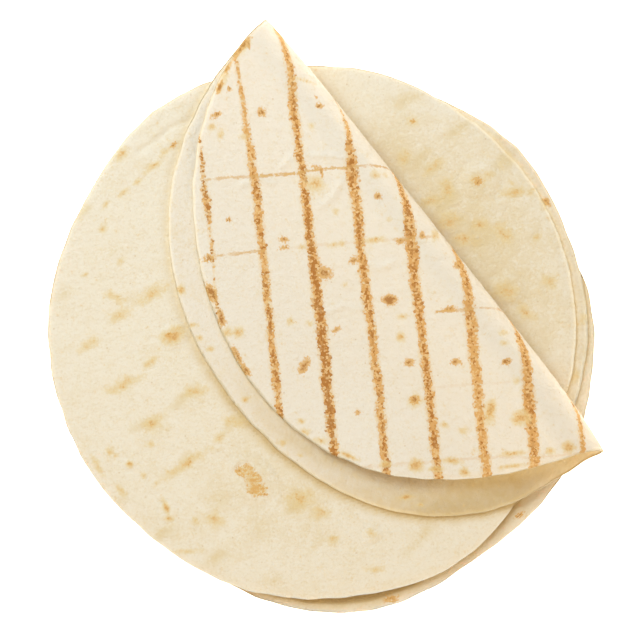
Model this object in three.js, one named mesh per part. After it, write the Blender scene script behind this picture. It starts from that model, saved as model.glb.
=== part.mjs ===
import * as THREE from 'three';

// Four soft griddled tortillas. Three lie flat on each other, a little out of line, and a
// fourth lies on top of them, folded in half over a loose, open bend.
// Millimetres, +Z up. The origin is the middle of the stack, at the height of its underside.

const thickness = 2.0; // one pressed and griddled sheet
const gap = 0.3; // air between two sheets that touch
const pitch = thickness + gap; // rise from one sheet to the next
const edgeRound = 0.6; // how far the middle of a sheet's edge stands out past its corners

// The flat sheets, from the bottom up. A lobe is a swelling of the rim that comes back
// `count` times round it, `height` above and below the plain circle, with a crest at `at` degrees.
const flatSheets = [
  {
    name: 'tortilla_bottom',
    centre: { x: 0.2, y: -10.4 },
    radius: 124.4,
    lobes: [
      { count: 2, height: 3.9, at: -46 },
      { count: 4, height: 2.0, at: -2 },
      { count: 5, height: 1.9, at: -12 },
      { count: 6, height: 1.7, at: 15 },
      { count: 8, height: 1.1, at: 15 },
    ],
  },
  {
    name: 'tortilla_middle',
    centre: { x: -1.5, y: -5.1 },
    radius: 123.6,
    lobes: [
      { count: 2, height: 0.8, at: -5 },
      { count: 3, height: 0.8, at: 22 },
      { count: 4, height: 0.5, at: 24 },
      { count: 5, height: 0.7, at: -17 },
      { count: 7, height: 0.9, at: -20 },
      { count: 8, height: 1.1, at: 3 },
    ],
  },
  {
    name: 'tortilla_top',
    centre: { x: -5.5, y: -5.9 },
    radius: 124.4,
    lobes: [
      { count: 2, height: 1.5, at: -71 },
      { count: 3, height: 0.5, at: 45 },
      { count: 4, height: 0.9, at: 23 },
      { count: 6, height: 0.7, at: 5 },
      { count: 8, height: 0.5, at: -11 },
    ],
  },
];

// The folded sheet. Its fold line runs through `foldAt` at `foldAngle` degrees from +X. Its own
// middle lies `off` the fold: along the line, and from it towards the half that lies below.
const foldAt = { x: 47.0, y: 44.4 };
const foldAngle = -51.6;
const off = { along: 6.8, below: 5.2 };
const foldedRadius = 126.7;
const foldedLobes = [
  { count: 2, height: 1.8, at: -46 },
  { count: 3, height: 2.4, at: -43 },
  { count: 4, height: 1.6, at: -31 },
];
const beak = { height: 4, at: 2, width: 7 }; // the rim pulled out to a point at the lower end

// How far the fold bows outwards, and how far from its middle it is back in line. Beyond that
// its ends draw inwards.
const foldBow = { height: 1.6, spentAt: 118 };

// The bend from the lower half up, over and down onto it: radii of the sheet's middle layer,
// and the steepest slope, in degrees, of the upper half on its way down.
const bendBelow = 9;
const bendAbove = 13;
const slope = 20;
const landing = 120;

// The free rim of the upper half curls up towards the lower end of the fold. The curl grows
// with the way along the fold line and with the way out from it.
const curl = { height: 9, along: { from: 20, to: 110 }, beyond: { from: 50, to: 105 } };

// How the sheets lie: flat in the middle, with rims that lift a little, in waves.
const rimLift = 1.4;
const flatWithin = 82;
const liftedBeyond = 132;

// Facets of a flat sheet along each side of its grid, and of the folded one across and along.
const flatFacets = 18;
const foldedFacets = { along: 24, across: 44 };

const crumb = new THREE.MeshStandardMaterial({ color: 0xebdcbc, roughness: 0.85, metalness: 0 });
const toasted = new THREE.MeshStandardMaterial({ color: 0xf0e4cd, roughness: 0.85, metalness: 0 });

function rimRadius(radius, lobes, angle) {
  const swell = (total, { count, height, at }) =>
    total + height * Math.cos(count * (angle - THREE.MathUtils.degToRad(at)));
  return lobes.reduce(swell, radius);
}

// A round sheet: a box of fine squares drawn out to a disc. `lay` places one vertex, from its
// direction, its reach (0 at the middle, 1 at the rim) and its side: -1 below, 1 above, and 0
// on the middle of the edge.
function roundSheet(columns, rows, spread, lay) {
  const geometry = new THREE.BoxGeometry(2, 2, 2, columns, rows, 2);
  const position = geometry.attributes.position;
  for (let i = 0; i < position.count; i++) {
    const across = position.getX(i);
    const upward = spread(position.getY(i));
    const x = across * Math.sqrt(1 - (upward * upward) / 2);
    const y = upward * Math.sqrt(1 - (across * across) / 2);
    const laid = lay(Math.atan2(y, x), Math.hypot(x, y), Math.round(position.getZ(i)));
    position.setXYZ(i, laid.x, laid.y, laid.z);
  }
  geometry.computeVertexNormals();
  return geometry;
}

// Distance from a sheet's middle, with the rim's lobes fading out towards the middle.
function reachRadius(radius, lobes, angle, reach, side) {
  const edge = rimRadius(radius, lobes, angle) - (side === 0 ? 0 : edgeRound);
  return radius * reach + (edge - radius) * reach ** 3;
}

// The lift of the rims over the flat middle, alike for every sheet, so that they nest.
function lift(x, y) {
  const angle = Math.atan2(y, x);
  const waves = 0.5 + 0.3 * Math.sin(3 * angle + 0.6) + 0.2 * Math.sin(7 * angle + 2);
  return rimLift * waves * THREE.MathUtils.smoothstep(Math.hypot(x, y), flatWithin, liftedBeyond);
}

function flatTortilla(sheet, layer) {
  const lay = (angle, reach, side) => {
    const r = reachRadius(sheet.radius, sheet.lobes, angle, reach, side);
    const x = sheet.centre.x + r * Math.cos(angle);
    const y = sheet.centre.y + r * Math.sin(angle);
    const height = layer * pitch + ((side + 1) / 2) * thickness;
    return new THREE.Vector3(x, y, height + lift(x, y));
  };
  const closeAtRim = (y) => 1.3 * y - 0.3 * y ** 3;
  const mesh = new THREE.Mesh(roundSheet(flatFacets, flatFacets, closeAtRim, lay), crumb);
  mesh.name = sheet.name;
  return mesh;
}

// The folded sheet's section, as stretches of sheet with the radians each one turns. It starts
// where the bend is steepest, and runs up over the bend, down the slope and out flat.
const quarter = Math.PI / 2;
const steepest = THREE.MathUtils.degToRad(slope);
const drop = bendBelow + bendAbove * Math.cos(steepest) - landing * (1 - Math.cos(steepest)) - pitch;
const upperSection = [
  { length: bendAbove * (quarter + steepest), turn: quarter + steepest },
  { length: drop / Math.sin(steepest), turn: 0 },
  { length: landing * steepest, turn: -steepest },
  { length: foldedRadius, turn: 0 },
];
const lowerSection = [
  { length: bendBelow * quarter, turn: quarter },
  { length: foldedRadius, turn: 0 },
];

// Walks a section for `distance` of sheet. It gives the way out from the fold, the rise, and
// the angle turned through so far.
function walk(section, distance) {
  let out = 0;
  let rise = 0;
  let turned = 0;
  let left = distance;
  for (const { length, turn } of section) {
    const part = Math.min(left, length);
    const bend = (turn * part) / length;
    const chord = bend === 0 ? part : (part * Math.sin(bend / 2)) / (bend / 2);
    out += chord * Math.sin(turned + bend / 2);
    rise += chord * Math.cos(turned + bend / 2);
    turned += bend;
    left -= part;
  }
  return { out, rise, turned };
}

function grown(distance, { from, to }) {
  return THREE.MathUtils.smoothstep(distance, from, to);
}

function foldedTortilla(layer) {
  const foldDirection = THREE.MathUtils.degToRad(foldAngle);
  const beakAt = THREE.MathUtils.degToRad(beak.at);
  const beakWidth = THREE.MathUtils.degToRad(beak.width);
  const lay = (angle, reach, side) => {
    const pull = beak.height * Math.exp(-(((angle - beakAt) / beakWidth) ** 2)) * reach ** 8;
    const r = reachRadius(foldedRadius, foldedLobes, angle, reach, side) + pull;
    const along = off.along + r * Math.cos(angle);
    const beyond = r * Math.sin(angle) - off.below;
    const upper = beyond > 0;
    const { out, rise, turned } = walk(upper ? upperSection : lowerSection, Math.abs(beyond));
    const inward = (side * thickness) / 2;
    const bow = foldBow.height * (1 - (along / foldBow.spentAt) ** 6);
    const away = out + inward * Math.cos(turned) - bow;
    const x = foldAt.x + along * Math.cos(foldDirection) + away * Math.sin(foldDirection);
    const y = foldAt.y + along * Math.sin(foldDirection) - away * Math.cos(foldDirection);
    const level = upper ? rise - inward * Math.sin(turned) : inward * Math.sin(turned) - rise;
    const middle = layer * pitch + thickness / 2 + bendBelow;
    const curled = curl.height * grown(along, curl.along) * grown(beyond, curl.beyond);
    return new THREE.Vector3(x, y, middle + level + lift(x, y) + curled);
  };
  const closeAtFold = (y) => 0.4 * y + 0.6 * y ** 3;
  const { along, across } = foldedFacets;
  const mesh = new THREE.Mesh(roundSheet(along, across, closeAtFold, lay), toasted);
  mesh.name = 'tortilla_folded';
  return mesh;
}

const stack = new THREE.Group();
flatSheets.forEach((sheet, layer) => stack.add(flatTortilla(sheet, layer)));
stack.add(foldedTortilla(flatSheets.length));

export default stack;
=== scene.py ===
"""A stack of four soft griddled tortillas. Three lie flat, and a fourth lies on them, folded in half."""

import math

import bpy
import numpy as np
from mathutils import Matrix, Vector, kdtree, noise


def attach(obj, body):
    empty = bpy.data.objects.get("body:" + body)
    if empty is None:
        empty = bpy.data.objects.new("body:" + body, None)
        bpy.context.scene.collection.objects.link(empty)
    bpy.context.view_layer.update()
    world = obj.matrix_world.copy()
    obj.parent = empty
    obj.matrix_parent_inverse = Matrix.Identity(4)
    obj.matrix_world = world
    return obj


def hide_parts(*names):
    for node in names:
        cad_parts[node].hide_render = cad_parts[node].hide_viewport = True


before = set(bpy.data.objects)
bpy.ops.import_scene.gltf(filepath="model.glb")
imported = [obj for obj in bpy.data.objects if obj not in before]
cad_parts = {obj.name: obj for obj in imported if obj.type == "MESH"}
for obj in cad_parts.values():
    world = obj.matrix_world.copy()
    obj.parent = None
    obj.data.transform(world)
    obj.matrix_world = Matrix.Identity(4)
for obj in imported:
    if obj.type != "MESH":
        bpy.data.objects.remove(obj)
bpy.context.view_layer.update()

mm = 0.001

# ---------------------------------------------------------------------------------------------
# The camera, the light and the surface.
# The camera looks straight down. A broad soft light stands above the stack, behind it and to its
# left. A low warm one in front, and a warm room, fill its shade. The stack lies on a plain white
# light table, whose glow comes up round the rims.

camera_height = 1500 * mm
view_width = 299.5 * mm
view_middle = Vector((-2.1 * mm, -0.6 * mm, 0))
sensor_width = 36.0

bpy.ops.object.select_all(action="DESELECT")
bpy.ops.object.camera_add(location=view_middle + Vector((0, 0, camera_height)), rotation=(0, 0, 0))
camera = bpy.context.object
camera.data.sensor_width = sensor_width
camera.data.lens = sensor_width * camera_height / view_width
bpy.context.scene.camera = camera
bpy.context.scene.view_settings.view_transform = "Standard"

# name, place in mm, size in m, energy in W, colour
lamps = [
    ("key_light", (-360, 520, 860), 0.6, 6.5, (0.78, 1.0, 1.24)),
    ("fill_light", (200, -620, 260), 0.6, 1.2, (1.0, 0.84, 0.58)),
]
for name, place, size, energy, tint in lamps:
    place = Vector(place) * mm
    bpy.ops.object.light_add(type="AREA", location=place)
    lamp = bpy.context.object
    lamp.name = name
    lamp.rotation_euler = (-place).to_track_quat("-Z", "Y").to_euler()
    lamp.data.size = size
    lamp.data.energy = energy
    lamp.data.color = tint

room = bpy.data.worlds.new("warm_room")
bpy.context.scene.world = room
room.use_nodes = True
room_light = room.node_tree.nodes["Background"].inputs
room_light["Color"].default_value = (1.0, 0.86, 0.7, 1.0)
room_light["Strength"].default_value = 0.6

bpy.ops.object.select_all(action="DESELECT")
bpy.ops.mesh.primitive_plane_add(size=8)
board = bpy.context.object
board.name = "light_table"


class Wire:
    """One output of a node, so that a finish's sums read as plain sums."""

    def __init__(self, finish, socket):
        self.finish = finish
        self.socket = socket

    def output(self, name):
        """Another output of the same node."""
        return Wire(self.finish, self.socket.node.outputs[name])

    def __add__(self, other):
        return self.finish.sum_of("ADD", self, other)

    def __sub__(self, other):
        return self.finish.sum_of("SUBTRACT", self, other)

    def __rsub__(self, other):
        return self.finish.sum_of("SUBTRACT", other, self)

    def __mul__(self, other):
        return self.finish.sum_of("MULTIPLY", self, other)

    def __truediv__(self, other):
        return self.finish.sum_of("DIVIDE", self, other)

    __radd__ = __add__
    __rmul__ = __mul__


class Finish:
    """A material, and the one way in which its nodes are made."""

    def __init__(self, name):
        self.material = bpy.data.materials.new(name)
        self.material.use_nodes = True
        self.tree = self.material.node_tree
        self.skin = self.tree.nodes["Principled BSDF"]

    def node(self, kind, inputs, settings=(), output=0):
        """One node, from its settings and the values or links of its sockets."""
        made = self.tree.nodes.new("ShaderNode" + kind)
        for name, setting in dict(settings).items():
            setattr(made, name, setting)
        for name, value in inputs.items():
            self.feed(made.inputs[name], value)
        return Wire(self, made.outputs[output])

    def feed(self, socket, value):
        if isinstance(value, Wire):
            self.tree.links.new(value.socket, socket)
        else:
            socket.default_value = value

    def sum_of(self, operation, first, second):
        return self.node("Math", {0: first, 1: second}, {"operation": operation})

    def kept(self, name):
        """A value that each point of the sheet keeps."""
        return self.node("Attribute", {}, {"attribute_name": name}, 2)

    def step(self, value, low, high):
        """0 below low, 1 above high, with a soft way between them."""
        ends = {"Value": value, "From Min": low, "From Max": high}
        return self.node("MapRange", ends, {"interpolation_type": "SMOOTHSTEP"})

    def over(self, below, above, cover):
        """One colour laid over another."""
        return self.node("Mix", {0: cover, 6: below, 7: above}, {"data_type": "RGBA"}, 2)

    def along(self, place, x, y):
        """How far a place lies in the direction x, y."""
        return self.node("VectorMath", {0: place, 1: (x, y, 0)}, {"operation": "DOT_PRODUCT"}, 1)

    def grain(self, place, size, detail=2.0, roughness=0.5, shift=0.0):
        """Cloudy unevenness from 0 to 1, with lumps about `size` across."""
        moved = self.node("VectorMath", {0: place, 1: (shift, shift, shift)}, {"operation": "ADD"})
        inputs = {"Vector": moved, "Scale": 1 / size, "Detail": detail, "Roughness": roughness}
        return self.node("TexNoise", inputs)


def colour(red, green, blue):
    """A colour as a screen shows it, made linear for the shader."""
    def linear(value):
        share = value / 255
        return share / 12.92 if share <= 0.04045 else ((share + 0.055) / 1.055) ** 2.4

    return linear(red), linear(green), linear(blue), 1.0


white = Finish("light_table")
white_place = white.node("TexCoord", {}, {}, 3)
white_tone = white.over(colour(246, 246, 246), colour(243, 243, 243), white.grain(white_place, 40 * mm))
white.feed(white.skin.inputs["Base Color"], white_tone)
white.feed(white.skin.inputs["Roughness"], 0.9)
white.feed(white.skin.inputs["Emission Color"], (1.0, 0.95, 0.86, 1.0))
white.feed(white.skin.inputs["Emission Strength"], 1.7)
board.data.materials.append(white.material)

# ---------------------------------------------------------------------------------------------
# The three flat tortillas.
# Each is a round of wheat dough, pressed 2 mm thick and baked on a ridged hot plate until its
# skin is dry and matt. The ridges have warmed it in faint slanting bands, and its steam pockets
# have toasted. The three lie a little out of line, and their rims lift in low waves.

thickness = 2.0 * mm  # one pressed and baked sheet
pitch = 2.3 * mm  # rise from one sheet to the next
rim_thickness = 1.3 * mm  # of the rim, where the dough was pressed thin
rim_slope = 4.0 * mm  # how far in from the rim it has its full thickness
edge_round = 0.4 * mm
rim_trim = 0.15 * mm  # how far a rim keeps inside its broad outline
nick = 0.06 * mm
rim_lift = 1.4 * mm
flat_within = 82 * mm
lifted_beyond = 132 * mm
droop = 0.18 * mm  # how far a sheet sinks onto the one below, away from its rim
droop_width = 8 * mm
relief_depth = 0.75 * mm  # of the finest relief, which the material has


def smooth_step(value, low, high):
    """0 below low, 1 above high, with a soft way between them."""
    share = np.clip((value - low) / (high - low), 0, 1)
    return share * share * (3 - 2 * share)


def lift(x, y):
    """The lift of the rims over the flat middle, alike for every sheet, so that they nest."""
    angle = np.arctan2(y, x)
    waves = 0.5 + 0.3 * np.sin(3 * angle + 0.6) + 0.2 * np.sin(7 * angle + 2)
    return rim_lift * waves * smooth_step(np.hypot(x, y), flat_within, lifted_beyond)


def rim_radius(radius, lobes, angle, seed):
    """The sheet's outline: a circle with a few broad lobes and the small nicks of hand pressing."""
    outline = np.full_like(angle, radius - rim_trim)
    for count, height, at in lobes:
        outline += height * np.cos(count * (angle - math.radians(at)))
    chance = np.random.default_rng(seed)
    for count in range(13, 60, 5):
        outline += nick * (np.cos(count * angle + chance.uniform(0, 2 * math.pi)) - 1)
    return outline


def read(mesh, name, width, kind="value"):
    """A mesh attribute as rows of numbers."""
    layer = mesh.attributes[name].data
    rows = np.empty(len(layer) * width, np.float32)
    layer.foreach_get(kind, rows)
    return rows.reshape(-1, width).astype(float)


def write(mesh, name, rows, kind="value", data_type="FLOAT"):
    """Rows of numbers into a mesh attribute, which is made if it isn't there."""
    layer = mesh.attributes.get(name) or mesh.attributes.new(name, data_type, "POINT")
    layer.data.foreach_set(kind, np.ascontiguousarray(rows, np.float32).ravel())


def rim_share(reach, radius):
    """How much of the sheet's thickness is left: all of it inside, less and less near the rim,
    where the dough was pressed thin."""
    inwards = (1 - reach) * radius
    return 1 - (1 - rim_thickness / thickness) * (1 - smooth_step(inwards, 0, rim_slope)) ** 1.5


def round_sheet(name, cells, spread, lay, radius):
    """A thin round sheet. A fine square grid is drawn out to a disc, laid where `lay` says, then
    thickened, thinly at its rim. The attribute `dough` keeps each point's place in the sheet as
    it lay open, and `side` is 1 on the skin that faced up then and -1 on the other."""
    bpy.ops.object.select_all(action="DESELECT")
    bpy.ops.mesh.primitive_grid_add(x_subdivisions=cells, y_subdivisions=cells, size=2)
    sheet = bpy.context.object
    sheet.name = name
    mesh = sheet.data
    mesh.name = name
    square = read(mesh, "position", 3, "vector")
    across, upward = square[:, 0], spread(square[:, 1])
    x = across * np.sqrt(1 - upward ** 2 / 2)
    y = upward * np.sqrt(1 - across ** 2 / 2)
    place, on_dough = lay(np.arctan2(y, x), np.hypot(x, y))
    write(mesh, "position", place, "vector")
    write(mesh, "dough", np.column_stack([on_dough, np.zeros(len(x))]), "vector", "FLOAT_VECTOR")
    write(mesh, "reach", np.hypot(x, y))
    mesh.update()
    share = rim_share(np.hypot(x, y), radius)
    full = sheet.vertex_groups.new(name="full")
    for point, part in enumerate(share):
        full.add([point], part, "REPLACE")

    skins = sheet.modifiers.new("skins", "SOLIDIFY")
    skins.thickness = thickness
    skins.vertex_group = full.name
    skins.offset = 0
    skins.use_even_offset = True
    bpy.ops.object.modifier_apply(modifier="skins")
    side = np.ones(len(mesh.vertices))
    side[len(mesh.vertices) // 2:] = -1
    write(mesh, "side", side)

    edge = sheet.modifiers.new("edge", "BEVEL")
    edge.limit_method = "ANGLE"
    edge.angle_limit = math.radians(50)
    edge.width = edge_round
    edge.segments = 3
    bpy.ops.object.modifier_apply(modifier="edge")
    bpy.ops.object.shade_smooth()
    return sheet


def emboss(sheet, height):
    """Raises each point along its own normal. The transform leaves the points where they are, but
    has the normals and the bounds worked out anew."""
    mesh = sheet.data
    normals = np.empty(len(mesh.vertices) * 3, np.float32)
    mesh.vertex_normals.foreach_get("vector", normals)
    place = read(mesh, "position", 3, "vector")
    write(mesh, "position", place + normals.reshape(-1, 3) * height[:, None], "vector")
    mesh.transform(Matrix())
    mesh.update()


def flatter_rim(reach):
    """How much of its relief the skin has: all of it inside, and a third of it at the rim."""
    return 1 - 0.7 * smooth_step(reach, 0.96, 1.0)


def ripple(on_dough, side, long, wide, seed):
    """The skin's own unevenness, from about -1 to 1, in lumps of the size long by wide."""
    rows = np.column_stack([on_dough[:, 0] / long, on_dough[:, 1] / wide, side * 5 + seed])
    return np.array([noise.fractal(Vector(row), 0.8, 2.1, 3) for row in rows])


def flat_sheet(name, cells, layer, centre, radius, lobes):
    """One flat tortilla, in its place in the stack."""
    def lay(angle, reach):
        edge = rim_radius(radius, lobes, angle, layer)
        r = radius * reach + (edge - radius) * reach ** 3
        x = centre[0] + r * np.cos(angle)
        y = centre[1] + r * np.sin(angle)
        z = layer * pitch + thickness / 2 * rim_share(reach, radius) + lift(x, y)
        if layer > 0:
            z -= droop * (1 - smooth_step((1 - reach) * radius, 0, droop_width))
        return np.column_stack([x, y, z]), np.column_stack([x, y])

    def close_at_rim(upward):
        """Sets the rows of the grid a little closer together at the rim."""
        return 1.1 * upward - 0.1 * upward ** 3

    return round_sheet(name, cells, close_at_rim, lay, radius)


def marks(place, spots):
    """How deep each point lies in the nearest of the toasted spots: 2 at a spot's middle, 1 at
    its edge and 0 at twice its size. A spot is x, y, length and width in mm, and its turn. It
    may add how many times more it is toasted than others, and how deep it is at most."""
    deepest = np.zeros(len(place))
    for x, y, long, wide, turn, *more in spots:
        dx, dy = place[:, 0] - x * mm, place[:, 1] - y * mm
        c, s = math.cos(math.radians(turn)), math.sin(math.radians(turn))
        off = np.hypot((dx * c + dy * s) / (long / 2 * mm), (dy * c - dx * s) / (wide / 2 * mm))
        strength = more[0] if more else 1
        most = more[1] if len(more) > 1 else 2 * strength
        deepest = np.maximum(deepest, np.minimum((2 - off) * strength, most))
    return deepest


def strewn(count, reach, seed):
    """Small toasted spots that lie anywhere, where no steam pocket of note is."""
    chance = np.random.default_rng(seed)
    spots = []
    for _ in range(count):
        far, way = reach * math.sqrt(chance.uniform()), chance.uniform(0, 2 * math.pi)
        size = chance.uniform(1.2, 3.2)
        place = far * math.cos(way), far * math.sin(way)
        spots.append((*place, size, size * chance.uniform(0.5, 1), chance.uniform(0, 180)))
    return spots


def blister(place, x, y, size, height):
    """A steam pocket: a low dome with a shallow groove round it."""
    off = np.hypot(place[:, 0] - x * mm, place[:, 1] - y * mm) / (size / 2 * mm)
    dome = 1 - smooth_step(off, 0.5, 1.0)
    groove = np.exp(-((off - 1.04) / 0.1) ** 2)
    return height * mm * (dome - 0.5 * groove)


def crease(place, points, width, height):
    """A low ridge in the skin along a line of points, in mm. A groove has a height below 0."""
    nearest = np.full(len(place), np.inf)
    for (x0, y0), (x1, y1) in zip(points, points[1:]):
        start, way = np.array([x0, y0]) * mm, np.array([x1 - x0, y1 - y0]) * mm
        share = np.clip((place[:, :2] - start) @ way / (way @ way), 0, 1)
        nearest = np.minimum(nearest, np.hypot(*(place[:, :2] - start - share[:, None] * way).T))
    return height * mm * np.exp(-(nearest / (width * mm)) ** 2)


def cloudy(across, up, long, wide, seed):
    """Noise from about -1 to 1, in clouds of the size long by wide."""
    rows = zip(across / long, up / wide)
    return np.array([noise.noise(Vector((column, row, seed))) for column, row in rows])


def bands(place, seed):
    """Warmth in slanting bands, where the ridges of the hot plate lay: a narrow heart that
    comes and goes, from 0 to 1."""
    tilt, spacing, shift, heart = math.radians(36), 24.0 * mm, 0.55, 2.6 * mm
    across = place[:, 1] * math.cos(tilt) - place[:, 0] * math.sin(tilt)
    along = place[:, 0] * math.cos(tilt) + place[:, 1] * math.sin(tilt)
    drift = cloudy(place[:, 0], place[:, 1], 30 * mm, 30 * mm, seed)
    patchy = cloudy(along, across, 14 * mm, 20 * mm, seed + 9)
    off = ((across + drift * 4 * mm) / spacing + shift + 0.5) % 1 - 0.5
    return np.exp(-(off * spacing / heart) ** 2) * smooth_step(patchy, -0.15, 0.5)


def nearness(place, rim, reach):
    """How near each point lies to another sheet's rim, as seen from above: 1 at the rim, less
    and less away from it, and 0 at `reach` from it."""
    tree = kdtree.KDTree(len(rim))
    for index, (x, y, _) in enumerate(rim):
        tree.insert((x, y, 0), index)
    tree.balance()
    far = np.array([tree.find((x, y, 0))[2] for x, y, _ in place])
    return np.clip(1 - far / reach, 0, 1) ** 2


def glow(place, patches):
    """Broad warm patches: x, y and radius in mm, and strength."""
    total = np.zeros(len(place))
    for x, y, radius, strength in patches:
        off = np.hypot(place[:, 0] - x * mm, place[:, 1] - y * mm) / (radius * mm)
        total += strength * np.exp(-off ** 2)
    return total


def baked_dough(finish, pale, warm, wrinkles):
    """The plain skin of a baked tortilla: pale, warmer where the plate touched it, and painted a
    deeper, warmer shade where other sheets shade it. It is cloudy at every scale, with dry flour,
    pores and fine wrinkles that run one way. Gives the place, the colour and the relief."""
    place = finish.node("Attribute", {}, {"attribute_name": "dough"}, 1)
    clouds = finish.grain(place, 15 * mm, 3.0, 0.55)
    patches = finish.grain(place, 4.5 * mm, 3.0, 0.6, 0.31)
    crumbs = finish.grain(place, 1.2 * mm, 2.0, 0.6, 0.77)
    uneven = (clouds - 0.5) * 0.8 + (patches - 0.5) * 0.8 + (crumbs - 0.5) * 1.0
    skin = finish.over(pale, warm, finish.step(finish.kept("warmth") + uneven, 0.0, 1.0))
    flour = finish.step(patches * 0.5 + crumbs * 0.5, 0.5, 0.68)
    skin = finish.over(skin, colour(249, 241, 225), flour * 0.35)
    skin = finish.over(skin, colour(214, 192, 148), finish.step(crumbs, 0.54, 0.76) * 0.25)
    # A paler rim: partly a floury edge, partly a painted highlight along it.
    rim = finish.step(finish.kept("reach"), 0.985, 0.998)
    skin = finish.over(skin, colour(250, 240, 217), rim * 0.4)
    # Painted shade: a deeper, warmer colour where the sheets above shade this one.
    painted_shade = finish.kept("painted_shade")
    skin = finish.over(skin, colour(222, 197, 147), painted_shade + painted_shade * (patches - 0.5) * 1.2)
    skin = finish.over(skin, colour(191, 162, 110), finish.step(painted_shade, 0.6, 1.0) * 0.75)
    pores = finish.node("TexVoronoi", {"Vector": place, "Scale": 1 / (4.2 * mm)})
    some = finish.step(pores.output("Color") * 1.0, 0.62, 0.7)
    skin = finish.over(skin, colour(206, 172, 118), (1 - finish.step(pores, 0.04, 0.14)) * some * 0.45)
    ways = {"X": finish.along(place, math.cos(wrinkles), math.sin(wrinkles)) / (6 * mm),
            "Y": finish.along(place, -math.sin(wrinkles), math.cos(wrinkles)) / (2 * mm)}
    inputs = {"Vector": finish.node("CombineXYZ", ways), "Scale": 1.0, "Detail": 3.0}
    creases = finish.node("TexNoise", inputs)
    return place, skin, patches * 0.8 + crumbs * 0.4 + creases * 0.45


def toast(finish, skin, place):
    """Lays the toasted spots on the skin: soft tan ones and crisp brown ones."""
    ragged = finish.grain(place, 2.4 * mm, 4.0, 0.75, 0.13) - 0.5
    torn = finish.grain(place, 5 * mm, 2.0, 0.6, 0.57) - 0.5
    grit = finish.node("TexVoronoi", {"Vector": place, "Scale": 1 / (0.8 * mm)})
    speck = finish.node("SeparateColor", {0: grit.output("Color")}) - 0.5
    tan_depth = finish.kept("tan") + ragged * 2.0 + torn * 2.2 + speck * 0.5
    skin = finish.over(skin, colour(232, 207, 150), finish.step(tan_depth, 0.0, 1.6) * 0.7)
    skin = finish.over(skin, colour(229, 185, 114), finish.step(tan_depth, 1.2, 2.5) * 0.75)
    skin = finish.over(skin, colour(206, 150, 84), finish.step(tan_depth + speck * 1.6, 2.4, 3.2) * 0.5)
    brown_depth = finish.kept("brown") + ragged * 1.3 + torn * 0.8 + speck * 0.7
    skin = finish.over(skin, colour(226, 180, 110), finish.step(brown_depth, 0.4, 1.0) * 0.9)
    return finish.over(skin, colour(178, 118, 54), finish.step(brown_depth, 1.1, 1.8) * 0.85)


def matt_skin(finish, skin, relief):
    """Feeds the skin's colour and relief, and sets how a dry tortilla takes the light. Where the
    attribute `lit` says, it has a faint painted glow, standing in for light that has come through thin
    dough."""
    finish.feed(finish.skin.inputs["Base Color"], skin)
    # Painted light: a faint golden glow, though the dough is no lamp.
    painted_glow = finish.over((0.0, 0.0, 0.0, 1.0), (0.13, 0.095, 0.03, 1.0), finish.kept("lit"))
    finish.feed(finish.skin.inputs["Emission Color"], painted_glow)
    dry_dough = {
        "Emission Strength": 1.0, "Roughness": 0.8, "Specular IOR Level": 0.2,
        "Subsurface Weight": 0.35, "Subsurface Radius": (1.0, 0.95, 0.9), "Subsurface Scale": 0.8 * mm,
    }
    for name, value in dry_dough.items():
        finish.feed(finish.skin.inputs[name], value)
    bump = finish.node("Bump", {"Height": relief, "Distance": relief_depth, "Strength": 1.0})
    finish.feed(finish.skin.inputs["Normal"], bump)


plain = Finish("plain_tortilla")
plain_wrinkles = 0.3
pale, warm = colour(242, 231, 208), colour(230, 210, 166)
plain_place, skin, relief = baked_dough(plain, pale, warm, plain_wrinkles)
matt_skin(plain, toast(plain, skin, plain_place), relief)

# name, node, cells along a side, centre and radius in mm, and the lobes of the rim: how often one
# comes back round it, its height in mm, and a crest's direction in degrees
flat_tortillas = [
    ("bottom_round", "tortilla_bottom", 120, (0.2, -10.4), 124.4,
     [(2, 3.9, -46), (4, 2.0, -2), (5, 1.9, -12), (6, 1.7, 15), (8, 1.1, 15)]),
    ("middle_round", "tortilla_middle", 120, (-1.5, -5.1), 123.6,
     [(2, 0.8, -5), (3, 0.8, 22), (4, 0.5, 24), (5, 0.7, -17), (7, 0.9, -20), (8, 1.1, 3)]),
    ("top_round", "tortilla_top", 200, (-5.5, -5.9), 124.4,
     [(2, 1.5, -71), (3, 0.5, 45), (4, 0.9, 23), (6, 0.7, 5), (8, 0.5, -11)]),
]

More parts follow.
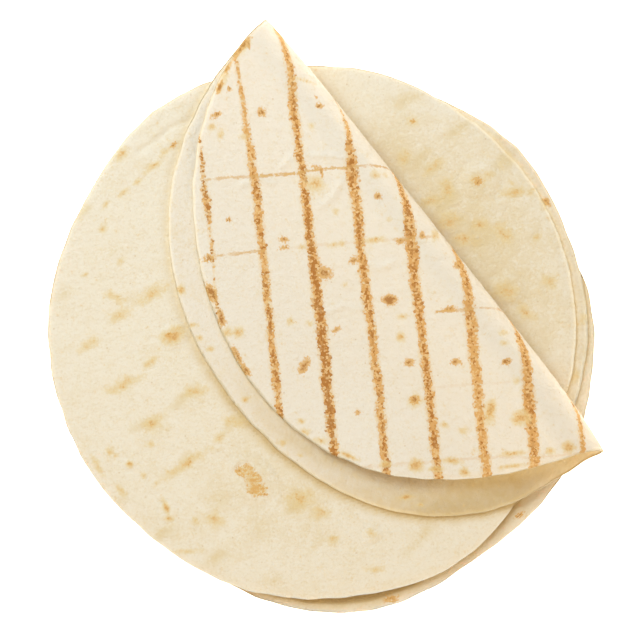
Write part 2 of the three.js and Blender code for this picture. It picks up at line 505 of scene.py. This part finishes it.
# x, y, length, width, turn, and for some how much more it is toasted and how deep at most
toasted_brown = {
    "top_round": [
        (-70, 81, 2.4, 2.2, 0), (71.5, 64, 3.4, 3, 0), (-72.5, -7.5, 2.4, 1.6, 0), (41, 92, 2, 1.6, 0),
        (-40.4, -71, 2.2, 1.6, 40, 0.9), (-30.1, -77.5, 1.6, 1.2, 0, 0.8),
        (-33.6, -81, 1.8, 1.4, 0, 0.8), (-27.4, -81.8, 1.8, 1.4, 0, 0.9),
        (-37.2, -70.6, 5.4, 3.5, 12, 2.5, 0.72), (-33.2, -74.8, 5.6, 4.5, -62, 2.5, 0.72),
        (-31.4, -79.6, 5.7, 3.8, 0, 2.5, 0.72),
    ],
    "middle_round": [(103.5, 54.5, 4, 2, -50)],
    "bottom_round": [(31, -131, 6, 2.4, 0), (91, -92, 2.8, 2.2, 0)],
}
toasted_tan = {
    "top_round": [
        (-95, 76, 8, 3.6, 58), (-102, 53, 4, 1.8, 40), (-93.5, 59, 5, 1.8, 38), (-87, 64, 4, 2, 38),
        (-80, 71, 9, 2.4, 38), (-74, 78, 6, 2.4, 40), (-63, 87, 5, 2, 50), (-103, 42, 4, 3, 70),
        (-98, 10, 8, 3.4, -25), (-80, 12, 12, 5, 32), (-95, 2, 9, 3.6, 35), (-110, -12, 9, 3.6, 30),
        (-71, -8, 8, 5.4, 20, 1.7), (-81, -20, 8, 3, 45), (-94, -31, 14, 4.4, 22), (-60, -34, 9, 4, 10),
        (-80, -49, 9, 5, 35), (-65, -68, 20, 3.6, 33), (-42, -48, 8, 4, 0), (-49, -55, 4, 4, 0),
        (-90.7, -67.6, 2.4, 2.2, 0, 1.6), (-73.9, -87.6, 5, 2.2, -70, 1.7), (-72, -93, 3, 2.2, 0, 1.2),
        (-51, -94, 7, 6, 30), (-60.4, -94.2, 3, 3, 0), (-81, -58.4, 3.4, 3, 0), (-100, -62, 3.4, 4, 0),
        (-63.6, -108.3, 9, 2, 3), (-106, -68, 8, 2.4, -60), (-95, -80, 7, 2.4, -52),
        (-37.2, -70.6, 5, 3.2, 12, 2.2, 1.9), (-33.2, -74.8, 5.2, 4.2, -62, 2.2, 1.9),
        (-31.4, -79.6, 5.4, 3.6, 0, 2.2, 1.9), (-11, -84, 11, 8, 0),
        (-2, -90, 7, 6, 0), (4, -103, 4, 4, 0), (22, -100, 4, 3.6, 0), (23, -117, 7, 3, 0),
        (41, 92, 4, 3.6, 0), (37, 75, 5, 5, 0), (51, 71, 8, 4, 40), (57, 61, 5, 9, 0),
        (50, 55, 9, 4, 10), (58, 45, 9, 7, 20), (71.5, 64, 5.5, 5, 0), (77, 67, 4, 3, 0),
        (89, 59, 11, 4, 8), (83, 39.5, 8, 7, -30), (66, 37, 9, 5, 0), (103, 54, 4, 6, 20),
        (99, 38, 4, 2.6, 10), (85, 13, 9, 8, 0), (105, 17.5, 6, 5, 0), (94, 3, 9, 4, -40),
        (72.5, 44, 7, 5, 0),
    ],
    "middle_round": [(121, 0.5, 4, 3, 80), (117, -27, 5, 3, 80)],
    "bottom_round": [(24, -127, 4, 3, 0), (70, -108, 3, 2, 20)],
}
# x, y, size, height, in mm
steam_pockets = {
    "top_round": [
        (-33, -77, 22, 0.8), (-70, -8, 14, 0.7), (86, 14, 17, 0.6), (73, 65, 20, 0.6),
        (-73, -90, 10, 0.7), (-91, -67.6, 6, 0.6), (22, -100, 10, 0.6), (58, 45, 14, 0.3),
    ],
}
# the line's points, width, height, in mm
skin_lines = {
    "top_round": [
        ([(-42.7, -68.7), (-40, -66.2), (-35.7, -64.9), (-31.5, -65.4), (-28.2, -67.7), (-25, -71),
          (-22.6, -75.2), (-21.5, -80), (-21.7, -83.6)], 1.2, 0.9),
        ([(-63.2, 92.6), (-72, 88.4), (-79, 82.5), (-86, 78.2)], 1.6, -0.8),
    ],
}
# x, y and radius in mm, strength
warm_patches = [(66, 46, 34, 0.5), (92, 2, 28, 0.35), (32, 80, 18, 0.35), (-25, -75, 40, 0.25)]

ripple_height = 0.09 * mm
sunk = 0.1 * mm  # how much lower the skin lies, to make room for its ripples

rounds = []
for layer, (name, node, cells, centre, radius, lobes) in enumerate(flat_tortillas):
    middle = (centre[0] * mm, centre[1] * mm)
    swellings = [(count, height * mm, at) for count, height, at in lobes]
    sheet = flat_sheet(name, cells, layer, middle, radius * mm, swellings)
    mesh = sheet.data
    dough = read(mesh, "dough", 3, "vector")
    side = read(mesh, "side", 1)[:, 0]
    reach = read(mesh, "reach", 1)[:, 0]
    up = side > 0
    height = ripple_height * ripple(dough, side, 12 * mm, 12 * mm, layer)
    height += ripple_height * ripple(dough, side, 4 * mm, 3 * mm, layer + 20) - sunk
    for x, y, size, rise in steam_pockets.get(name, []):
        height += up * blister(dough, x, y, size, rise)
    for points, width, rise in skin_lines.get(name, []):
        height += up * crease(dough, points, width, rise)
    height *= flatter_rim(reach)
    emboss(sheet, np.where(up, height, 0 if layer == 0 else 0.3 * height))
    write(mesh, "brown", np.where(up, marks(dough, toasted_brown[name]), marks(dough, strewn(12, 110, 60))))
    write(mesh, "tan", np.where(up, marks(dough, toasted_tan[name] + strewn(14, 118, layer)),
                                marks(dough, strewn(60, 118, layer + 40))))
    write(mesh, "warmth", 0.15 + 0.55 * bands(dough, layer) + np.where(up, glow(dough, warm_patches), 0.2))
    mesh.materials.append(plain.material)
    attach(sheet, "root")
    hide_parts(node)
    rounds.append(sheet)


def rim_points(sheet, first, last):
    """The points of a sheet's rim, between two places on it as it lay open."""
    place = read(sheet.data, "position", 3, "vector")
    reach = read(sheet.data, "reach", 1)[:, 0]
    up = read(sheet.data, "dough", 3, "vector")[:, 1]
    return place[(reach > 0.999) & (up > first) & (up < last)]


def not_in_front(place):
    """1 from the middle of the stack to its back, which faces the light, and 0 at its front."""
    return smooth_step(place[:, 1], -60 * mm, -10 * mm)


# Except at the front, the thin rims get a faint painted glow, standing in for light that comes through
# them.
for piece in rounds:
    place = read(piece.data, "position", 3, "vector")
    own_rim = smooth_step(read(piece.data, "reach", 1)[:, 0], 0.985, 0.997)
    write(piece.data, "lit", 0.7 * own_rim * not_in_front(place))

# Painted shade: the skin is painted a deeper, warmer colour beside the rim of the sheet above, where
# its shade falls, most of all at the front. Beside that rim, a painted glow stands in for light that comes
# down through it.
for below, above in zip(rounds, rounds[1:]):
    place = read(below.data, "position", 3, "vector")
    above_rim = rim_points(above, -1, 1)
    more = 0.35 + 1.65 * smooth_step(-place[:, 1], 60 * mm, 130 * mm)
    write(below.data, "painted_shade", more * nearness(place, above_rim, 11 * mm))
    beside = nearness(place, above_rim, 2.6 * mm) * not_in_front(place)
    write(below.data, "lit", np.maximum(read(below.data, "lit", 1)[:, 0], beside))

# ---------------------------------------------------------------------------------------------
# The folded tortilla.
# The same kind of sheet, marked on a ridged grill on one side, then folded in half over a
# loose, open bend with the grilled side out. It rests on the stack by its lower half, and its
# upper half comes down onto the lower one.

fold_at = (47.0 * mm, 44.4 * mm)  # a point that the fold line runs through
fold_angle = math.radians(-51.6)
off_along = 6.8 * mm  # from that point to the sheet's own middle, along the line
off_below = 5.2 * mm  # and away from the line, towards the half that lies below
folded_radius = 126.7 * mm
folded_lobes = [(2, 1.8 * mm, -46), (3, 2.4 * mm, -43), (4, 1.6 * mm, -31)]
beak_height = 4 * mm  # of the rim's pulled-out point at the lower end of the fold
beak_at = math.radians(2)
beak_width = math.radians(7)
fold_bow = 1.6 * mm  # how far the fold bows outwards
bow_spent = 118 * mm  # how far from its middle it is back in line
bend_below = 9 * mm  # the bend's radius up from the lower half
bend_above = 13 * mm  # and over, down onto it
slope = math.radians(20)  # the upper half's steepest, on its way down
landing = 120 * mm  # the radius in which it levels out
curl = 9 * mm  # how far the upper half's free rim curls up at the lower end
folded_cells = 205

quarter = math.pi / 2
drop = bend_below + bend_above * math.cos(slope) - landing * (1 - math.cos(slope)) - pitch
upper_section = [
    (bend_above * (quarter + slope), quarter + slope),
    (drop / math.sin(slope), 0),
    (landing * slope, -slope),
    (folded_radius, 0),
]
lower_section = [(bend_below * quarter, quarter), (folded_radius, 0)]


def walk(section, distance):
    """The way out from the fold and the rise after `distance` of sheet. The section is a list
    of stretches, each a length and the angle that it turns through."""
    out, rise, turned = np.zeros((3, len(distance)))
    left = distance.copy()
    for length, turn in section:
        part = np.minimum(left, length)
        bend = turn * part / length
        chord = part * np.sinc(bend / (2 * math.pi))
        out += chord * np.sin(turned + bend / 2)
        rise += chord * np.cos(turned + bend / 2)
        turned += bend
        left -= part
    return out, rise


def lay_folded(angle, reach):
    """Where each point of the folded sheet lies, and its place in the sheet as it lay open:
    along the fold line, and beyond it towards the upper half."""
    beak = beak_height * np.exp(-((angle - beak_at) / beak_width) ** 2) * reach ** 8
    edge = rim_radius(folded_radius, folded_lobes, angle, 9)
    r = folded_radius * reach + (edge - folded_radius) * reach ** 3 + beak
    along = off_along + r * np.cos(angle)
    beyond = r * np.sin(angle) - off_below
    upper_out, upper_rise = walk(upper_section, np.abs(beyond))
    lower_out, lower_rise = walk(lower_section, np.abs(beyond))
    upper = beyond > 0
    away = np.where(upper, upper_out, lower_out) - fold_bow * (1 - (along / bow_spent) ** 6)
    rise = np.where(upper, upper_rise, -lower_rise)
    x = fold_at[0] + along * math.cos(fold_angle) + away * math.sin(fold_angle)
    y = fold_at[1] + along * math.sin(fold_angle) - away * math.cos(fold_angle)
    z = len(flat_tortillas) * pitch + thickness / 2 + bend_below + rise + lift(x, y)
    z += curl * smooth_step(along, 20 * mm, 110 * mm) * smooth_step(beyond, 50 * mm, 105 * mm)
    lying = smooth_step(np.abs(beyond), 5 * mm, 25 * mm)
    z -= thickness / 2 * (1 - rim_share(reach, folded_radius)) * lying
    z -= droop * (1 - smooth_step((1 - reach) * folded_radius, 0, droop_width)) * lying
    return np.column_stack([x, y, z]), np.column_stack([along, beyond])


def close_at_fold(upward):
    """Sets the rows of the grid closer together in the middle of the sheet, where it bends."""
    return 0.75 * upward + 0.25 * upward ** 3


folded = round_sheet("folded_round", folded_cells, close_at_fold, lay_folded, folded_radius)
mesh = folded.data
dough = read(mesh, "dough", 3, "vector")
side = read(mesh, "side", 1)[:, 0]
reach = read(mesh, "reach", 1)[:, 0]
place = read(mesh, "position", 3, "vector")
grilled_side = side < 0
on_top = grilled_side & (dough[:, 1] > -2 * mm)

# The grill's bars ran straight across the open sheet, a turn of 57 degrees off the fold line.
bar_turn = -1.0
bar_spacing = 23.6 * mm
bar_shift = -39.4 * mm
rib_spacing = 35.0 * mm
rib_shift = -23.5 * mm
bar_x, bar_y = math.cos(bar_turn), math.sin(bar_turn)

# For each bar: how far down it, in mm, how wide its mark is there and how dark, from 0 to 1
bar_marks = {
    -3: [(-42, 0, 0.9), (-36, 0.8, 1), (-22, 1, 1), (-16, 2.2, 1), (-8, 1.8, 1), (-2, 0.2, 0.9),
         (12, 0.8, 0.9), (18, -0.8, 0.9), (30, 0.4, 1), (36, 0.9, 1), (42, -1, 0.8), (60, -1, 0.8)],
    -2: [(-90, 0.8, 0.3), (-56, 1.3, 0.4), (-36, 2.2, 0.5), (-20, 3, 0.7), (60, 2.8, 0.8), (90, 2.6, 0.7)],
    -1: [(-92, 2.6, 0.5), (-43, 3, 0.7), (-15, 3.2, 0.8), (10, 3.9, 0.9), (65, 4.2, 1), (105, 3.4, 0.9)],
    0: [(-62, 0.4, 0.4), (-50, 0.9, 0.5), (-40, 2.1, 0.6), (-32, 3, 0.6), (-25, 4.6, 0.7),
        (-17, 3.9, 0.7), (15, 3.5, 0.65), (62, 3.2, 0.7), (118, 3, 0.7)],
    1: [(-24, 2.6, 0.5), (8, 4.4, 0.7), (40, 3.4, 0.75), (87, 3.4, 0.75), (123, 3.2, 0.6)],
    2: [(20, 3, 0.5), (42, 4, 0.55), (75, 3.6, 0.5), (122, 3.4, 0.4)],
    3: [(60, 2.6, 0.4), (72, 3.8, 0.5), (92, 4.6, 0.5), (120, 3.8, 0.45)],
    4: [(92, 1.6, 0.3), (103, 2.4, 0.4), (113, 1.6, 0.3)],
}
# For each rib across the bars: from where to where its faint mark shows, and how strong
rib_marks = {
    0: [(-110, -84, 0.7), (-84, -52, 1), (-52, -14, 0.9)],
    1: [(-108, -86, 0.8), (-76, -52, 0.2), (-52, -24, 0.2), (-24, -4, 0.6)],
    2: [(-8, 2, 1), (2, 30, 0.7)],
    3: [(-20, 30, 0.15)],
    4: [(-50, 55, 0.3)],
}

across_bars = dough[:, 0] * bar_x + dough[:, 1] * bar_y
down_bars = dough[:, 1] * bar_x - dough[:, 0] * bar_y
nearest_bar = np.round((across_bars - bar_shift) / bar_spacing)
nearest_rib = np.round((down_bars - rib_shift) / rib_spacing)
bar_width = np.full(len(dough), 3.0 * mm)
bar_depth = np.full(len(dough), 0.6)
for bar, stretches in bar_marks.items():
    down, width, depth = np.array(stretches).T
    here = nearest_bar == bar
    bar_width[here] = np.interp(down_bars[here], down * mm, width * mm)
    bar_depth[here] = np.interp(down_bars[here], down * mm, depth)
rib_strength = np.zeros(len(dough))
for rib, stretches in rib_marks.items():
    for first, last, strength in stretches:
        within = (nearest_rib == rib) & (across_bars > first * mm) & (across_bars < last * mm)
        rib_strength[within] = strength
write(mesh, "bar_width", np.where(grilled_side, bar_width, -20 * mm))
write(mesh, "bar_depth", bar_depth)
write(mesh, "rib_strength", np.where(grilled_side, rib_strength, 0))

# x, y, length, width, turn and strength, as on the flat ones, but as they lie in the stack
seared_brown = [
    (-29, 95, 3.6, 2.8, -20), (-50.2, 94, 4.2, 2, 20, 1.2), (-2.1, 97.6, 3, 2, 0),
    (-44.5, 46, 1.8, 1.6, 0, 1.4), (-3.9, 101.8, 1.3, 1.1, 0, 1.3), (-3.4, 69.6, 4.4, 1, -10, 1.1),
    (-1.3, 66.8, 4.4, 1, -80, 1.1), (-37.9, 124.4, 10, 1.6, 51, 1.2), (-34.8, 125.4, 3.4, 1, -80, 1.1),
    (-44.6, 115, 4.6, 1.4, 62, 1.1), (-48.3, 107, 5, 1.6, 65, 1.3), (-44.2, 105.7, 1.8, 1.6, 0, 1.2),
    (-54, 28.4, 5, 2.4, 0), (-52.8, 12.1, 7, 3, -65, 1.3), (-48, 0.6, 6.4, 2.2, -75, 1.3),
    (-41, -17.4, 9, 1.6, -60, 1.4), (-37, -24, 6, 1.8, -55, 1.4), (0.2, 21, 5.4, 4.6, 0),
    (13.5, 27, 3.6, 2.6, 0), (-18.9, 36.6, 3.4, 1.8, 0), (-18.7, 33, 4.4, 1.6, 10),
    (30, 8.6, 5.4, 3.6, 0, 1.2), (39, -20.4, 3.6, 3.2, 0), (60, -20, 4, 2.4, 0),
    (83.2, -19.8, 4, 2.2, 10), (41.7, -37.4, 3.4, 3, 0), (-9.5, -22, 6.4, 3.2, 65),
    (24.6, 56, 3.4, 2, -10), (5.3, -5.2, 3.2, 2, 20), (15.4, -43.5, 2.2, 2, 0), (57, 4.5, 5, 1.8, 0),
    (44.8, 38.6, 3, 2.8, 0), (34.8, 35.6, 3.6, 2.4, 0), (61.4, 24.4, 3.4, 2.6, 0),
]
seared_tan = [
    (-8.8, 109.4, 7, 1, -14, 1.4),
    (-37.5, 124, 9, 3, 51), (-46.5, 110, 10, 2.6, 64), (-52.4, 88.6, 3.4, 2.2, 0, 1.3),
    (28.3, 66.3, 1.6, 1.4, 0, 1.2), (-48.2, 84.7, 2.4, 4, 0), (-37, 84, 3, 2, 0),
    (-6, 88.4, 3.2, 2.8, 0), (-4, 62, 8, 5.6, -40, 1.2), (23, 66, 3.4, 2.6, 0, 1.3), (5, 49, 3, 2, 0),
    (30, 45.7, 2, 2, 0), (-16, -1, 2.6, 2, 0, 1.3), (-7, -2, 3, 2, 0), (-10.2, 33, 3, 1.6, 0, 1.3),
    (4, 34, 4, 1.6, 10, 1.1), (8, 34.6, 2.4, 1.8, 0, 1.1), (23.3, 36.3, 7, 2, 3, 1.4),
    (50.9, 38.5, 2.6, 4.2, 0), (36, 0.9, 3.4, 2, 0, 1.2), (35, -8.6, 3.2, 2.8, 0, 1.3),
    (82.3, -6.6, 3.4, 2, 0), (82.3, -11.2, 3.4, 2, 0), (87.8, -28.3, 2.6, 3, 0),
    (42, -37.5, 5.4, 4.6, 20, 1.3), (76.1, -42.5, 9, 3.6, 82, 1.6), (89.9, -45.5, 6, 5, 0, 1.6),
    (55.2, -49, 3, 2.4, 0), (64, -51.6, 3.4, 2.4, 0), (9, 15.5, 2, 1.4, 0),
    (-45.4, -6.4, 4, 3.2, 0, 1.5), (-40.1, -6.1, 4, 3.4, 0, 1.4), (-10.8, -47.5, 2.8, 2, 0, 1.4),
    (-9, -52.4, 3.4, 1.8, -30, 1.4), (-2.1, -56.6, 4.4, 2.2, -10, 1.5), (10.8, -63.4, 7, 1.8, -25, 1.6),
    (28.3, -67.4, 4, 2.4, 0, 1.5), (42.4, -68, 5, 4, 0, 1.7), (51.6, -69.6, 5.4, 1.8, 0, 1.4),
    (59, -65.8, 6.4, 2.4, 0, 1.4), (64.6, -71, 3.6, 2.8, 0, 1.5), (86.4, -68, 8.4, 1.6, 8, 1.5),
    (87, -62, 9, 1.8, 6, 1.3), (103.7, -60.9, 3, 2.4, 0, 1.4), (111.8, -59, 4.6, 4, 0, 1.6),
]
write(mesh, "brown", np.where(on_top, marks(place, seared_brown), marks(dough, strewn(14, 115, 70))))
# On the inner side of the lower half
inner_tan = [
    (-66.7, 13.3, 2.6, 3.6, 20, 1.5), (-61.1, -2.9, 4, 1.4, 0, 1.3), (-58.3, -9, 3, 1.8, -30, 1.3),
    (-53.2, -14.1, 3, 1.8, 0, 1.2), (-37, -37.8, 2.4, 2.4, 0, 1.3), (-19.3, -57.8, 2.6, 2.2, 0, 1.4),
    (-11, -63.4, 1.8, 1.6, 0, 1.3), (38, -83, 6, 2, 4, 1.3), (44.4, -86.6, 2.4, 1.6, 0, 1.4),
]
tan = np.where(on_top, marks(place, seared_tan), marks(dough, strewn(40, 118, 71)))
facing_up = (side > 0) & (dough[:, 1] < -2 * mm)
write(mesh, "tan", np.where(facing_up, marks(place, inner_tan), tan))
write(mesh, "warmth", np.where(grilled_side, 0.0, 0.15))


def front(place):
    """Most at the front of the stack, and a third as much from its middle to the back."""
    return 0.35 + 0.65 * smooth_step(-place[:, 1], -40 * mm, 50 * mm)


# Painted shade: under its upper half the lower one is painted a deeper, warmer colour where the upper half
# shades it, most of all towards the narrow lower end
along = dough[:, 0]
upper_rim = rim_points(folded, 10 * mm, 1)
lip = nearness(place, upper_rim, 14 * mm)
contact = nearness(place, upper_rim, 2.4 * mm)
narrow = smooth_step(along, 88 * mm, 112 * mm)
tip = narrow * smooth_step(dough[:, 1], -50 * mm, -25 * mm)
under_lip = np.minimum(0.6, 1.5 * lip) * smooth_step(along, -20 * mm, 50 * mm)
lower_end = (0.6 + 0.2 * narrow) * (1 - 0.15 * lip) * smooth_step(along, 40 * mm, 90 * mm)
painted_shade = np.maximum(under_lip, lower_end) * (1 - 0.5 * tip)
painted_shade = np.maximum(painted_shade, 0.6 * contact * front(place) * (1 - narrow))
inner = (side > 0) & (reach < 0.999)
# The rim's walls get painted shade too, most of all at the front, where they face away from the light.
write(mesh, "painted_shade", np.where(inner, painted_shade, 0.7 * front(place) * (reach > 0.999)))

# Painted shade on the flat sheet below: deeper and warmer beside the rim of the lower half, and a little
# along the bend
top = rounds[-1].data
top_place = read(top, "position", 3, "vector")
lower_rim = rim_points(folded, -1, -10 * mm)
bend = place[np.abs(dough[:, 1]) < 1.5 * mm]
shade_by_rim = np.minimum(0.8, 1.8 * nearness(top_place, lower_rim, 6 * mm)) * front(top_place)
write(top, "painted_shade", np.maximum(shade_by_rim, 0.3 * nearness(top_place, bend, 16 * mm)))


def behind(place):
    """1 at the back of the stack, which faces the light, and 0 at its front."""
    return smooth_step(place[:, 1], -30 * mm, 25 * mm)


# A faint painted glow on the thin rims, above all at the back, and in the narrow lower end, standing in for
# light that comes through the dough
at_left = 0.6 * (1 - smooth_step(along, 20 * mm, 70 * mm))
rim_light = np.maximum(behind(place), np.where(dough[:, 1] < 0, 0.8, at_left))
rim_light *= smooth_step(reach, 0.985, 0.997)
mouth_light = narrow * np.maximum(np.minimum(1, 1.6 * lip), tip)
inner_light = np.maximum(mouth_light, contact * at_left)
write(mesh, "lit", np.maximum(rim_light, inner * inner_light))
beside = nearness(top_place, lower_rim, 2.6 * mm) * (0.6 + 0.4 * behind(top_place))
write(top, "lit", np.maximum(read(top, "lit", 1)[:, 0], beside))

# Low ridges where the skin is slack, each along a line of points in mm
crease_width, crease_height = 1.2, 0.9
creases = [
    [(-19.6, 69.9), (-15.9, 73.6), (-12.7, 74.6), (0.2, 75), (11.7, 73.2)],
    [(-2.1, 51.5), (1.1, 54.3), (3.9, 56.1), (6.2, 60.3), (7.6, 62.6)],
    [(-3, 2.6), (2.5, 3.5), (9.4, 6.3), (16.3, 4.5)],
    [(-38, 62), (-30, 65), (-24, 63)], [(14, 22), (20, 25), (27, 23), (31, 26)],
]
broad_ripple, fine_ripple, grilled_sunk = 0.1 * mm, 0.15 * mm, 0.3 * mm
height = broad_ripple * ripple(dough, side, 11 * mm, 8 * mm, 21)
height += fine_ripple * ripple(dough, side, 5 * mm, 3 * mm, 33) - grilled_sunk
for points in creases:
    height += on_top * crease(place, points, crease_width, crease_height)
height += on_top * blister(place, -5.3, 67.6, 7, 0.35)
height *= flatter_rim(reach)
emboss(folded, height)

grilled = Finish("grilled_tortilla")
pale, warm = colour(240, 229, 209), colour(232, 211, 169)
grilled_place, skin, relief = baked_dough(grilled, pale, warm, bar_turn)

# The char is a crust of grains, each one toasted as a whole.
crust = grilled.node("TexVoronoi", {"Vector": grilled_place, "Scale": 1 / (0.95 * mm)})
grain_tones = grilled.node("SeparateColor", {0: crust.output("Color")})
chance, tone = grain_tones.output("Red"), grain_tones.output("Green")
grain_place = crust.output("Position")
wander = grilled.grain(grain_place, 22 * mm, 2.0, 0.5, 0.4) - 0.5
lumps = grilled.grain(grain_place, 6 * mm, 2.0, 0.6, 0.9) - 0.5
drift = wander * (2.4 * mm)
half_width = grilled.kept("bar_width") * 0.56  # more than a half, because ragged edges look thin
depth = grilled.kept("bar_depth")


def off_line(place, x, y, shift, spacing, drift):
    """How far a place lies from the nearest of a row of even lines."""
    turns = (grilled.along(place, x, y) + drift - shift) / spacing
    return grilled.node("Math", {0: turns, 1: 0.5}, {"operation": "PINGPONG"}) * spacing


off_bar = off_line(grain_place, bar_x, bar_y, bar_shift, bar_spacing, drift)
clumps = grilled.grain(grain_place, 2.6 * mm, 2.0, 0.6, 0.21) - 0.5
inside = half_width + lumps * (2.6 * mm) + clumps * (1.6 * mm) - off_bar
seared = grilled.step(inside + (0.5 - chance) * (1.3 * mm), -0.25 * mm, 0.25 * mm)
scorch = grilled.step(inside, -1.6 * mm, 0.6 * mm)
charred = grilled.step(depth * 0.8 + (tone - 0.5) * 0.8 + clumps * 1.3 + inside / (4 * mm), 0.75, 1.2)
skin = grilled.over(skin, colour(238, 209, 158), scorch * 0.8)
skin = grilled.over(skin, colour(224, 170, 98), seared * 0.93)
skin = grilled.over(skin, colour(240, 205, 148), seared * (1 - grilled.step(tone, 0.2, 0.28)) * 0.7)
skin = grilled.over(skin, colour(180, 115, 47), seared * charred * 0.85)

off_rib = off_line(grilled_place, -bar_y, bar_x, rib_shift, rib_spacing, drift)
rib_strength = grilled.kept("rib_strength")
faint = grilled.step(off_rib + (chance - 0.5) * (0.5 * mm) - clumps * (2.2 * mm), 0.35 * mm, 0.95 * mm)
dashes = grilled.step(lumps, -0.22, 0.02) * 0.75 + 0.15
skin = grilled.over(skin, colour(220, 176, 108), (1 - faint) * rib_strength * dashes)
matt_skin(grilled, toast(grilled, skin, grilled_place), relief - seared * 0.2)
mesh.materials.append(grilled.material)
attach(folded, "root")
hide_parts("tortilla_folded")
